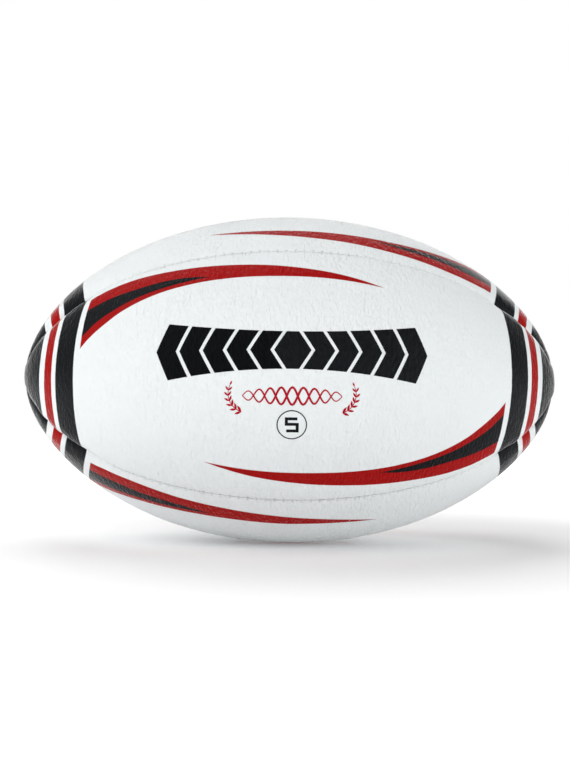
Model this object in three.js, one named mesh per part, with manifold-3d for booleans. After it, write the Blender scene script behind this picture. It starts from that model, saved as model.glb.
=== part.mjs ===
// Rugby ball, size 5: four lined cover panels sewn along four seams, over an inflated bladder with a needle valve.
// The origin is the ball's centre, +X runs along the long axis and +Z points up. The front panel faces -Y.
import * as THREE from "three";
import { mergeVertices } from "three/addons/utils/BufferGeometryUtils.js";
import Module from "manifold-3d";

// ---- driving dimensions, in millimetres ----
const BALL_LENGTH = 300;
const BALL_DIAMETER = 183;
const PROFILE_POWER = 0.57; // 0.5 gives an ellipse, and more makes the ends more pointed
const PANEL_CROWN = 1.5; // how far the seams lie below the middle of the panels

const COVER_WALL = 1.2;
const PLY_WALL = 0.5;
const BLADDER_WALL = 0.7;
const LAYER_GAP = 0.3; // between each layer and the next
const SEAM_GAP = 0.3; // between the turned-in edges of two panels
const SHOULDER_WIDTH = 3.2; // how wide the rounded edge of a panel is
const SHOULDER_DEPTH = 2.6; // how far down it rounds over
const EDGE_TURN = 2.2; // chamfer inside a panel's turned-in edge
const BLADDER_TIP_EASE = 2; // the bladder's tips are rounder than the case, by about this much
const SEAM_ALLOWANCE = 6; // how deep the cover's edge is turned in
const PLY_TRIM = 0.4; // each ply's turned-in edge is this much shorter than the last

const THREAD_DIAMETER = 0.9;
const THREAD_DEPTH = 1; // the thread's centre, below the crown line of the seam

const TIP_HOLE_RADIUS = 2.5; // where the corners of the four panels meet
const VALVE_BOSS_DIAMETER = 9;
const VALVE_RECESS = 0.8; // the boss ends this far below the cover
const VALVE_FLANGE_DIAMETER = 22;
const VALVE_FLANGE_WALL = 1.9;
const VALVE_TAIL_LENGTH = 11; // below the flange
const VALVE_VENT_DIAMETER = 2;
const VALVE_FLOOR_WALL = 1.4; // below the insert
const INSERT_DIAMETER = 4.4;
const INSERT_RECESS = 0.2; // the insert ends this far below the boss
const NEEDLE_DIMPLE_DIAMETER = 2;
const NEEDLE_DIMPLE_DEPTH = 1.2;
const VALVE_CLEARANCE = 0.3; // round the boss and round the insert
const VALVE_PATCH_DIAMETER = 36;
const BALANCE_PATCH_DIAMETER = 34;
const BALANCE_PATCH_WALL = 1;

// ---- facets ----
const STATIONS = 18; // steps from tip to tip
const MIDDLE_STEPS = 6; // facets across the plain part of a panel
const SHOULDER_STEPS = 3;
const THREAD_HALF_SIDES = 3;
const ROUND_SIDES = 24;

// ---- places worked out from the dimensions ----
const HALF_LENGTH = BALL_LENGTH / 2;
const CROWN_RADIUS = BALL_DIAMETER / 2;
const HALF_TURN = Math.PI / 4; // from the middle of a panel to its seam
const HALF_WIDTH = CROWN_RADIUS * HALF_TURN; // half a panel, laid out flat at the middle of the ball
const FACE = SEAM_GAP / 2; // the cover's turned-in edge, from the plane of the seam
const ALLOWANCE_FLOOR = SEAM_ALLOWANCE + LAYER_GAP;
const CHAMFER_SHARE = Math.SQRT2 - 1; // how a 45 degree chamfer grows as its layer is offset
const OUTER_PLY_OFFSET = LAYER_GAP; // offsets are from the inside of the cover
const INNER_PLY_OFFSET = OUTER_PLY_OFFSET + PLY_WALL + LAYER_GAP;
const BLADDER_OFFSET = INNER_PLY_OFFSET + PLY_WALL + LAYER_GAP;
const VALVE_SEAT_OFFSET = BLADDER_OFFSET + BLADDER_WALL + LAYER_GAP;
const EDGE_MARGIN = 0.5;
const EDGE_ZONE = turnedIn(BLADDER_OFFSET + BLADDER_WALL).shoulder + EDGE_MARGIN;
const TIP_RADIUS = 2.6 * EDGE_ZONE; // nearer the tip than this, the panels' edges narrow with the ball
const TIP_ANGLE = Math.acos((TIP_HOLE_RADIUS / CROWN_RADIUS) ** (1 / (2 * PROFILE_POWER)));

const PANELS = { back: 0, top: 1, front: 2, bottom: 3 }; // quarter turns from +Y towards +Z
const SEAMS = { top_back: 0.5, front_top: 1.5, bottom_front: 2.5, back_bottom: 3.5 };

const wasm = await Module();
wasm.setup();

// ---- the shape of the ball ----

// A step along the outline from tip to tip: its place and the outward normal, in the plane through the long axis.
function outline(station) {
  const angle = TIP_ANGLE * ((2 * station) / STATIONS - 1);
  const cosine = Math.cos(angle);
  const bend = 2 * PROFILE_POWER;
  const normal = new THREE.Vector2(
    bend * CROWN_RADIUS * cosine ** (bend - 1) * Math.sin(angle),
    HALF_LENGTH * cosine,
  ).normalize();
  return { x: HALF_LENGTH * Math.sin(angle), radius: CROWN_RADIUS * cosine ** bend, normal };
}

// The point at a station, a flat distance across from the middle of a panel, and a depth below the cover.
function panelPoint(station, panel, across, depth) {
  const { x, radius, normal } = outline(station);
  const narrowing = Math.min(1, radius / TIP_RADIUS);
  const sunk = depth + PANEL_CROWN * (radius / CROWN_RADIUS) * (across / HALF_WIDTH) ** 2;
  const r = radius - sunk * normal.y;
  const fromSeam = HALF_WIDTH - Math.abs(across);
  const angleTo = (distance) => HALF_TURN - Math.asin((distance * narrowing) / r);
  const inEdge = fromSeam <= EDGE_ZONE;
  const angle = inEdge
    ? angleTo(fromSeam)
    : (angleTo(EDGE_ZONE) * Math.abs(across)) / (HALF_WIDTH - EDGE_ZONE);
  const turn = panel * 2 * HALF_TURN - Math.sign(across) * angle;
  return new THREE.Vector3(x - sunk * normal.x, r * Math.cos(turn), r * Math.sin(turn));
}

// The point at a station, a distance to one side of the plane of a seam, and a depth below its crown line.
function seamPoint(station, seam, aside, depth) {
  const { x, radius, normal } = outline(station);
  const sunk = depth + PANEL_CROWN * (radius / CROWN_RADIUS);
  const r = radius - sunk * normal.y;
  const turn = seam * 2 * HALF_TURN;
  const away = new THREE.Vector3(0, Math.sin(turn), -Math.cos(turn)).multiplyScalar(aside);
  return new THREE.Vector3(x - sunk * normal.x, r * Math.cos(turn), r * Math.sin(turn)).add(away);
}

// Moves every vertex of a geometry to the point that a function gives for it.
function wrapped(geometry, pointFor) {
  const bare = geometry.clone();
  bare.deleteAttribute("normal");
  bare.deleteAttribute("uv");
  const place = bare.getAttribute("position");
  for (let i = 0; i < place.count; i++) {
    const point = pointFor(place.getX(i), place.getY(i), place.getZ(i));
    place.setXYZ(i, point.x, point.y, point.z);
  }
  return bare;
}

// A flat section, extruded through whole stations before it is wrapped.
function extruded(section, fromStation, toStation, curveSegments) {
  const steps = toStation - fromStation;
  const options = { steps, depth: steps, bevelEnabled: false, curveSegments };
  return new THREE.ExtrudeGeometry(section, options).translate(0, 0, fromStation);
}

// ---- solids ----

function solidOf(geometry) {
  const bare = geometry.clone();
  bare.deleteAttribute("normal");
  bare.deleteAttribute("uv");
  const merged = mergeVertices(bare, 1e-4);
  const vertProperties = merged.getAttribute("position").array;
  const triVerts = new Uint32Array(merged.index.array);
  return new wasm.Manifold(new wasm.Mesh({ numProp: 3, vertProperties, triVerts }));
}

function geometryOf(solid) {
  const { vertProperties, triVerts } = solid.getMesh();
  const geometry = new THREE.BufferGeometry();
  geometry.setAttribute("position", new THREE.BufferAttribute(vertProperties, 3));
  geometry.setIndex(new THREE.BufferAttribute(triVerts, 1));
  geometry.computeVertexNormals();
  return geometry;
}

// A round bar along the valve's axis, +Y, between two heights.
function bar(diameter, low, high) {
  const radius = diameter / 2;
  const corners = [[0, low], [radius, low], [radius, high], [0, high]];
  return turned(corners);
}

function turned(corners) {
  const points = corners.map(([r, y]) => new THREE.Vector2(r, y));
  return solidOf(new THREE.LatheGeometry(points, ROUND_SIDES));
}

// ---- the sewn case ----

// Where a layer turns in towards the seam, at an offset inside the cover: its face, and its chamfer's two ends.
function turnedIn(offset) {
  const face = FACE + COVER_WALL + offset;
  const depth = COVER_WALL + offset;
  const chamfer = EDGE_TURN + offset * (CHAMFER_SHARE - 1);
  return { face, depth, foot: depth + chamfer, shoulder: face + chamfer };
}

// The flat section of a layer: its top across the panel, one edge, its underside, and the other edge.
// An edge is a list of [distance from the plane of the seam, depth].
function traySection(topDepth, edge, undersideDepth) {
  const half = HALF_WIDTH - EDGE_ZONE;
  const across = Array.from({ length: MIDDLE_STEPS + 1 }, (_, i) => half * ((2 * i) / MIDDLE_STEPS - 1));
  const corners = [
    ...across.map((u) => [u, topDepth]),
    ...edge.map(([distance, depth]) => [HALF_WIDTH - distance, depth]),
    ...across.map((u) => [-u, undersideDepth]),
    ...edge.map(([distance, depth]) => [distance - HALF_WIDTH, depth]).reverse(),
  ];
  return new THREE.Shape(corners.map(([u, depth]) => new THREE.Vector2(u, -depth)));
}

// The cover's edge: a rounded shoulder, the turned-in allowance, and the chamfer inside it.
function coverSection() {
  const inside = turnedIn(0);
  const shoulder = Array.from({ length: SHOULDER_STEPS + 1 }, (_, i) => {
    const angle = ((Math.PI / 2) * i) / SHOULDER_STEPS;
    const distance = SHOULDER_WIDTH - (SHOULDER_WIDTH - FACE) * Math.sin(angle);
    return [distance, SHOULDER_DEPTH * (1 - Math.cos(angle))];
  });
  const edge = [
    ...shoulder,
    [FACE, SEAM_ALLOWANCE],
    [inside.face, SEAM_ALLOWANCE],
    [inside.face, inside.foot],
    [inside.shoulder, inside.depth],
  ];
  return traySection(0, edge, inside.depth);
}

function plySection(offset, allowance) {
  const outside = turnedIn(offset);
  const inside = turnedIn(offset + PLY_WALL);
  const edge = [
    [outside.shoulder, outside.depth],
    [outside.face, outside.foot],
    [outside.face, allowance],
    [inside.face, allowance],
    [inside.face, inside.foot],
    [inside.shoulder, inside.depth],
  ];
  return traySection(outside.depth, edge, inside.depth);
}

function panelSolid(section, panel, fromStation, toStation) {
  const flat = extruded(section, fromStation, toStation);
  return solidOf(wrapped(flat, (u, v, w) => panelPoint(w, panel, u, -v)));
}

function threadGeometry(seam) {
  const section = new THREE.Shape().absarc(0, -THREAD_DEPTH, THREAD_DIAMETER / 2, 0, 2 * Math.PI);
  const flat = extruded(section, 1, STATIONS - 1, THREAD_HALF_SIDES);
  return wrapped(flat, (t, v, w) => seamPoint(w, seam, t, -v));
}

// ---- the bladder ----

// How much deeper the bladder lies at a station, which only tells near the tips.
function tipEase(station) {
  return BLADDER_TIP_EASE * (1 - outline(station).radius / CROWN_RADIUS) ** 8;
}

// A whole skin of the ball at an offset inside the cover. It dips under the seam allowances that press into it.
function skinSolid(offset) {
  const layer = turnedIn(offset);
  const floor = ALLOWANCE_FLOOR + offset - BLADDER_OFFSET;
  const half = HALF_WIDTH - EDGE_ZONE;
  const middle = Array.from({ length: MIDDLE_STEPS + 1 }, (_, i) => [half * ((2 * i) / MIDDLE_STEPS - 1), layer.depth]);
  const edge = [[HALF_WIDTH - layer.shoulder, layer.depth], [HALF_WIDTH - layer.face, floor]];
  const mirrored = edge.map(([u, depth]) => [-u, depth]).reverse();
  const quarter = [[-HALF_WIDTH, floor], ...mirrored, ...middle, ...edge];
  const sides = 4 * quarter.length;
  const flat = new THREE.CylinderGeometry(1, 1, STATIONS, sides, STATIONS);
  const bare = wrapped(flat, (a, b, c) => {
    const station = b + STATIONS / 2;
    if (Math.hypot(a, c) < 0.5) {
      const depth = floor + tipEase(station);
      return new THREE.Vector3(outline(station).x - Math.sign(b) * depth, 0, 0);
    }
    const side = Math.round((Math.atan2(a, c) / (2 * Math.PI)) * sides + sides) % sides;
    const panel = Math.floor(side / quarter.length);
    const [across, depth] = quarter[side % quarter.length];
    return panelPoint(station, panel, -across, depth + tipEase(station));
  });
  return solidOf(bare);
}

// ---- the valve, on +Y ----

const boss = VALVE_BOSS_DIAMETER;
const bossTop = CROWN_RADIUS - VALVE_RECESS;
const holeDiameter = boss + 2 * VALVE_CLEARANCE;
const flangeFloor = CROWN_RADIUS - COVER_WALL - VALVE_SEAT_OFFSET - VALVE_FLANGE_WALL;
const tailEnd = flangeFloor - VALVE_TAIL_LENGTH;
const insertTop = bossTop - INSERT_RECESS;
const boreFloor = tailEnd + VALVE_FLOOR_WALL;
const insertFoot = boreFloor + VALVE_CLEARANCE;
const borePlug = INSERT_DIAMETER + 2 * VALVE_CLEARANCE;
const outsideBall = CROWN_RADIUS + VALVE_BOSS_DIAMETER;
const valveHole = bar(holeDiameter, 0, outsideBall);

function valveHousing() {
  const stem = bar(boss, tailEnd, bossTop);
  const flange = bar(VALVE_FLANGE_DIAMETER, flangeFloor, CROWN_RADIUS).intersect(skinSolid(VALVE_SEAT_OFFSET));
  const bore = bar(borePlug, boreFloor, outsideBall);
  const vent = bar(VALVE_VENT_DIAMETER, 0, outsideBall);
  return stem.add(flange).subtract(bore).subtract(vent);
}

function valveInsert() {
  const radius = INSERT_DIAMETER / 2;
  return turned([
    [0, insertFoot],
    [radius, insertFoot],
    [radius, insertTop],
    [NEEDLE_DIMPLE_DIAMETER / 2, insertTop],
    [0, insertTop - NEEDLE_DIMPLE_DEPTH],
  ]);
}

function valvePatch() {
  const disc = bar(VALVE_PATCH_DIAMETER, 0, outsideBall).intersect(skinSolid(INNER_PLY_OFFSET));
  return disc.subtract(skinSolid(INNER_PLY_OFFSET + PLY_WALL)).subtract(valveHole);
}

function balancePatch() {
  const disc = bar(BALANCE_PATCH_DIAMETER, -outsideBall, 0).intersect(skinSolid(VALVE_SEAT_OFFSET));
  return disc.subtract(skinSolid(VALVE_SEAT_OFFSET + BALANCE_PATCH_WALL));
}

// ---- materials ----

const finish = (color, roughness) => new THREE.MeshStandardMaterial({ color, roughness, metalness: 0 });
const coverFinish = finish(0xf0f2f2, 0.45);
const plyFinish = finish(0xd9d2bf, 0.9);
const threadFinish = finish(0xe6e4dc, 0.7);
const bladderFinish = finish(0x1c1c1e, 0.55);
const patchFinish = finish(0x8a8378, 0.85);
const valveFinish = finish(0x2a2a2c, 0.6);
const insertFinish = finish(0x3a3a3c, 0.55);

// ---- assembly ----

const ball = new THREE.Group();

function addPiece(name, geometry, material) {
  const piece = new THREE.Mesh(geometry, material);
  piece.name = name;
  ball.add(piece);
}

const outerAllowance = SEAM_ALLOWANCE - PLY_TRIM;
const innerAllowance = outerAllowance - PLY_TRIM;
const patchSeat = bar(VALVE_PATCH_DIAMETER + 2 * LAYER_GAP, 0, outsideBall);

for (const [name, panel] of Object.entries(PANELS)) {
  let cover = panelSolid(coverSection(), panel, 0, STATIONS);
  let outerPly = panelSolid(plySection(OUTER_PLY_OFFSET, outerAllowance), panel, 1, STATIONS - 1);
  let innerPly = panelSolid(plySection(INNER_PLY_OFFSET, innerAllowance), panel, 1, STATIONS - 1);
  if (name === "back") {
    cover = cover.subtract(valveHole);
    outerPly = outerPly.subtract(valveHole);
    innerPly = innerPly.subtract(patchSeat);
  }
  addPiece(name + "_panel", geometryOf(cover), coverFinish);
  addPiece(name + "_outer_ply", geometryOf(outerPly), plyFinish);
  addPiece(name + "_inner_ply", geometryOf(innerPly), plyFinish);
}

for (const [name, seam] of Object.entries(SEAMS)) {
  addPiece(name + "_seam_thread", threadGeometry(seam), threadFinish);
}

const bladder = skinSolid(BLADDER_OFFSET).subtract(skinSolid(BLADDER_OFFSET + BLADDER_WALL)).subtract(valveHole);
addPiece("bladder", geometryOf(bladder), bladderFinish);
addPiece("balance_patch", geometryOf(balancePatch()), patchFinish);
addPiece("valve_patch", geometryOf(valvePatch()), patchFinish);
addPiece("valve_housing", geometryOf(valveHousing()), valveFinish);
addPiece("valve_insert", geometryOf(valveInsert()), insertFinish);

export default ball;
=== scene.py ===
import math
from bisect import bisect
from functools import lru_cache
from typing import NamedTuple

import bmesh
import bpy
from bpy.props import FloatProperty, FloatVectorProperty, PointerProperty
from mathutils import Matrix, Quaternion, Vector, noise


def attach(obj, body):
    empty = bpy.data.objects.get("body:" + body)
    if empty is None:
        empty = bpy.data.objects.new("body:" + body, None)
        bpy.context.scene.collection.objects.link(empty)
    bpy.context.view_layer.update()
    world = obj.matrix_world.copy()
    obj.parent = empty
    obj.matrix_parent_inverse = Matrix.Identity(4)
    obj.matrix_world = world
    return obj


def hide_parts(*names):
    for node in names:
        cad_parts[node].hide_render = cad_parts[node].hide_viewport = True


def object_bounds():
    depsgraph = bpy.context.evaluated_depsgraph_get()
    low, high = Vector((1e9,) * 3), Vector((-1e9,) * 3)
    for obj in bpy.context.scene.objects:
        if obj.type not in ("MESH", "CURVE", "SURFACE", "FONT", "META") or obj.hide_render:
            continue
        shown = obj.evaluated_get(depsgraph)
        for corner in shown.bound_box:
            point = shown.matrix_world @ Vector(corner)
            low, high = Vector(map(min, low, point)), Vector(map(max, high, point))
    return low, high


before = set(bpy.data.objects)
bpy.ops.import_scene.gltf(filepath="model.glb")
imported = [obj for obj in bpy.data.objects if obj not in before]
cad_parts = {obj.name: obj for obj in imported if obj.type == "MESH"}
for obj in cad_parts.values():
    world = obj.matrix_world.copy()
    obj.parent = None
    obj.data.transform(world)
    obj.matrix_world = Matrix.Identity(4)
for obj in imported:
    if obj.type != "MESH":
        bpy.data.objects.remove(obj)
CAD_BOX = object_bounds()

bl_info = {
    "name": "Rugby Ball",
    "version": (1, 0, 0),
    "blender": (4, 5, 0),
    "location": "3D View > Sidebar > Rugby Ball",
    "description": "Makes a sewn four-panel rugby ball, from the bladder out to the printed cover",
    "category": "Object",
}

MM = 0.001
BODY = "root"
HALF_TURN = math.pi / 4  # from the middle of a panel to its seam, round the long axis
PANELS = {"back": 0, "top": 1, "front": 2, "bottom": 3}  # quarter turns from +Y towards +Z
SEAMS = {"top_back": 0.5, "front_top": 1.5, "bottom_front": 2.5, "back_bottom": 3.5}


# ---- what a user would change ----


def length(name, description, millimetres):
    """A length in metres, given in millimetres."""
    return FloatProperty(
        name=name, description=description, default=millimetres * MM, min=0, precision=5, unit="LENGTH"
    )


def colour(name, description, red, green, blue):
    """A colour, given as a screen shows it, from 0 to 255."""
    linear = [((c / 255 + 0.055) / 1.055) ** 2.4 for c in (red, green, blue)]
    return FloatVectorProperty(
        name=name, description=description, default=linear, size=3, min=0, max=1, subtype="COLOR"
    )


class BallShape(bpy.types.PropertyGroup):
    """The outside of the ball."""

    ball_length: length("Length", "From tip to tip", 300)
    diameter: FloatProperty(
        name="Diameter",
        description="Round the middle, as the frame has it",
        default=CAD_BOX[1].z - CAD_BOX[0].z,
        precision=5,
        unit="LENGTH",
    )
    profile_power: FloatProperty(
        name="Pointedness", description="0.5 gives an ellipse, and more makes sharper ends", default=0.57
    )
    crown: length("Panel Crown", "How far the seams lie below the middle of the panels", 1.5)
    tip_hole: length("Tip Hole", "Radius left between the corners of the panels", 0.8)
    tip_tuck: length("Tip Tuck", "How wide the corners of the panels round over at the tips", 1.4)


class CoverBuild(bpy.types.PropertyGroup):
    """How the cover panels are cut, turned in and sewn."""

    wall: length("Wall", "Thickness of the cover", 1.2)
    layer_gap: length("Layer Gap", "Between each layer and the next", 0.3)
    seam_gap: length("Seam Gap", "Between the turned-in edges of two panels", 0.3)
    allowance: length("Seam Allowance", "How deep the cover's edge is turned in", 6)
    inside_turn: length("Inside Turn", "Rounding inside a panel's turned-in edge", 2.2)
    edge_round: length("Edge Rounding", "Rounding of a panel's edge in the middle of the ball", 1.1)
    end_round_width: length("End Rounding Width", "Width of that rounding towards the tips", 4.2)
    end_round_depth: length("End Rounding Depth", "Depth of that rounding towards the tips", 2.3)
    roll: length("Seam Roll", "How far the cover sinks beside a seam", 0.25)
    end_roll: length("End Roll", "How much further it sinks towards the tips", 1.1)
    stitch_pull: length("Stitch Pull", "Depth of the dent that each stitch draws in", 0.42)
    gather: length("Gathers", "Depth of the small creases across the edge", 0.10)
    end_gather: length("End Gathers", "Depth of the folds beside the seams near the tips", 0.8)
    unevenness: length("Unevenness", "Slow rise and fall of the cover", 0.16)
    ply_wall: length("Ply Wall", "Thickness of one fabric ply", 0.5)
    ply_trim: length("Ply Trim", "How much shorter each ply's turned-in edge is than the last", 0.4)


class Stitching(bpy.types.PropertyGroup):
    """The thread that closes the seams."""

    pitch: length("Pitch", "From one stitch to the next", 4.6)
    thread: length("Thread", "Diameter of the waxed thread", 0.6)
    dive: length("Dive", "How far the thread drops through each hole", 1.5)
    hole: length("Hole", "How far each stitch parts the two edges", 0.12)


class PrintDesign(bpy.types.PropertyGroup):
    """The rings, swooshes and ornament printed on each panel."""

    white: colour("White", "The cover itself", 236, 240, 241)
    black: colour("Black", "Rings, wedges and chevrons", 15, 18, 21)
    red: colour("Red", "Ring and swooshes", 166, 5, 4)
    crimson: colour("Crimson", "The small ornament", 176, 16, 40)
    ring_gap: length("Ring Gap", "White left between the swooshes and the first ring", 3.1)
    black_ring: length("Black Ring", "From the ball's middle to the black ring", 112.7)
    black_ring_end: length("Black Ring End", "From the ball's middle to its far side", 123.5)
    red_ring: length("Red Ring", "From the ball's middle to the red ring", 126.1)
    red_ring_end: length("Red Ring End", "From the ball's middle to its far side", 130.9)
    cap: length("Cap", "From the ball's middle to the black cap", 134.4)
    ring_bow: length("Ring Bow", "How far the first ring bows inward at the seams", 3.4)
    ring_spread: length("Ring Spread", "How much nearer the tips the top and bottom panels' rings are", 2.2)
    ring_lean: length("Ring Lean", "How much more it bows beside the swoosh", 0.6)


class BladderBuild(bpy.types.PropertyGroup):
    """The bladder and its patches."""

    wall: length("Wall", "Thickness of the rubber", 0.7)
    tip_ease: length("Tip Ease", "How much rounder its tips are than the case", 2)
    patch: length("Balance Patch", "Diameter of the patch opposite the valve", 34)
    patch_wall: length("Balance Patch Wall", "Its thickness", 1)
    valve_patch: length("Valve Patch", "Diameter of the patch in the lining round the valve", 36)


class ValveBuild(bpy.types.PropertyGroup):
    """The needle valve, on +Y."""

    boss: length("Boss", "Diameter of the boss that shows in the cover", 9)
    recess: length("Recess", "The boss ends this far below the cover", 0.8)
    flange: length("Flange", "Diameter of the flange inside the bladder", 22)
    flange_wall: length("Flange Wall", "Its thickness", 1.9)
    tail: length("Tail", "Length below the flange", 11)
    vent: length("Vent", "Diameter of the way into the bladder", 2)
    floor_wall: length("Floor Wall", "Rubber below the insert", 1.4)
    insert: length("Insert", "Diameter of the insert", 4.4)
    insert_recess: length("Insert Recess", "It ends this far below the boss", 0.2)
    needle_dimple: length("Needle Dimple", "Diameter of the dimple that guides the needle", 2)
    needle_depth: length("Needle Depth", "Depth of the dimple", 1.2)
    clearance: length("Clearance", "Round the boss and round the insert", 0.3)


class StageLook(bpy.types.PropertyGroup):
    """Camera, floor and lights."""

    camera_at: FloatVectorProperty(
        name="Camera",
        description="Where the camera stands, looking at the ball's centre",
        default=(-0.0147, -0.5744, -0.0219),
        subtype="TRANSLATION",
    )
    camera_roll: FloatProperty(
        name="Roll", description="Turn about the line of sight", default=math.radians(0.73), subtype="ANGLE"
    )
    camera_lens: FloatProperty(name="Lens", description="Focal length in millimetres", default=47.8)
    sideways_shift: FloatProperty(name="Shift", description="Framing to the left", default=-0.0076)
    backdrop_light: FloatProperty(name="Backdrop", description="Brightness behind the ball", default=1.0)
    room_light: FloatProperty(name="Room", description="Brightness all round", default=0.075)
    key_power: FloatProperty(name="Key Light", description="Watts, from the upper left", default=19.5)
    fill_power: FloatProperty(name="Fill Light", description="Watts, from the right", default=10)
    top_power: FloatProperty(name="Top Light", description="Watts, from above and behind", default=10)
    floor_glow: FloatProperty(name="Floor Glow", description="Its own light near the ball", default=0.12)


SETTINGS = {
    "ball_shape": BallShape,
    "ball_cover": CoverBuild,
    "ball_stitching": Stitching,
    "ball_print": PrintDesign,
    "ball_bladder": BladderBuild,
    "ball_valve": ValveBuild,
    "ball_stage": StageLook,
}


# ---- the shape of the case ----


def ease(value, low, high):
    """0 up to low, 1 from high on, and smooth between."""
    share = min(1, max(0, (value - low) / (high - low)))
    return share * share * (3 - 2 * share)


class Layer(NamedTuple):
    """One face of a panel or ply, and how it turns in at the seam."""

    face: float  # its turned-in edge, from the plane of the seam
    top: float  # its depth below the cover
    turn: float  # rounding between the two
    floor: float  # how deep the turned-in edge reaches
    outside: bool = False  # the cover's own outside, which has a wider rounding, dimples and creases


class Ring(NamedTuple):
    """One ring round the case: where it lies, and how wide a panel's edge is there."""

    x: float
    radius: float
    normal: Vector  # outward, along the axis and away from it
    run: float  # along the seam from the middle of the ball
    end: float  # 0 in the middle of the ball and 1 towards the tips
    narrow: float  # 1, and less where the panels narrow to a point
    tuck: float  # how far the corners dip at the tips


class Zones(NamedTuple):
    """How many columns half a panel has in each zone."""

    middle: int
    edge: int
    turn: int
    face: int

    @property
    def all(self):
        return sum(self)


DENT_FROM_SEAM = 0.9 * MM  # where each stitch's dent is deepest
DENT_REACH = 0.6 * MM
PULL_SPREAD = 0.9  # how much harder some stitches are pulled than others
GATHER_LENGTH = 1.9 * MM  # along the seam
GATHER_REACH = 6 * MM  # away from it
FOLD_LENGTH = 7 * MM
FOLD_WIDTH = 9 * MM
FOLD_REACH = 7 * MM
SWELL_LENGTH = 34 * MM  # of the slow rise and fall
SWELL_TURN = 2.6  # how fast it changes round the ball
ROLL_WIDTH = (6 * MM, 3 * MM)  # of the sunken strip beside a seam, and what the ends add
VALVE_DIP = 0.35 * MM  # how far the cover sinks at the valve
VALVE_DIP_REACH = 6 * MM
EDGE_ZONE = 10 * MM  # beside a seam, where distances are held instead of angles
NARROW_RADIUS = 22 * MM  # nearer the tip than this, a panel's edge narrows with it
TURN_OF_ENDS = (88 * MM, 112 * MM)  # where the plain middle of a seam becomes its folded end
MIDDLE_SPREAD = 1.8  # how much closer the columns lie in the middle of a panel
EDGE_SPREAD = 1.7  # how much closer they lie beside the edge
TIP_ROWS = 8
FLOOR_ROWS = 2  # the last of them, which run straight down
RUN_STEPS = 800
RUN_END = 0.999 * math.pi / 2  # just short of the tip


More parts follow.
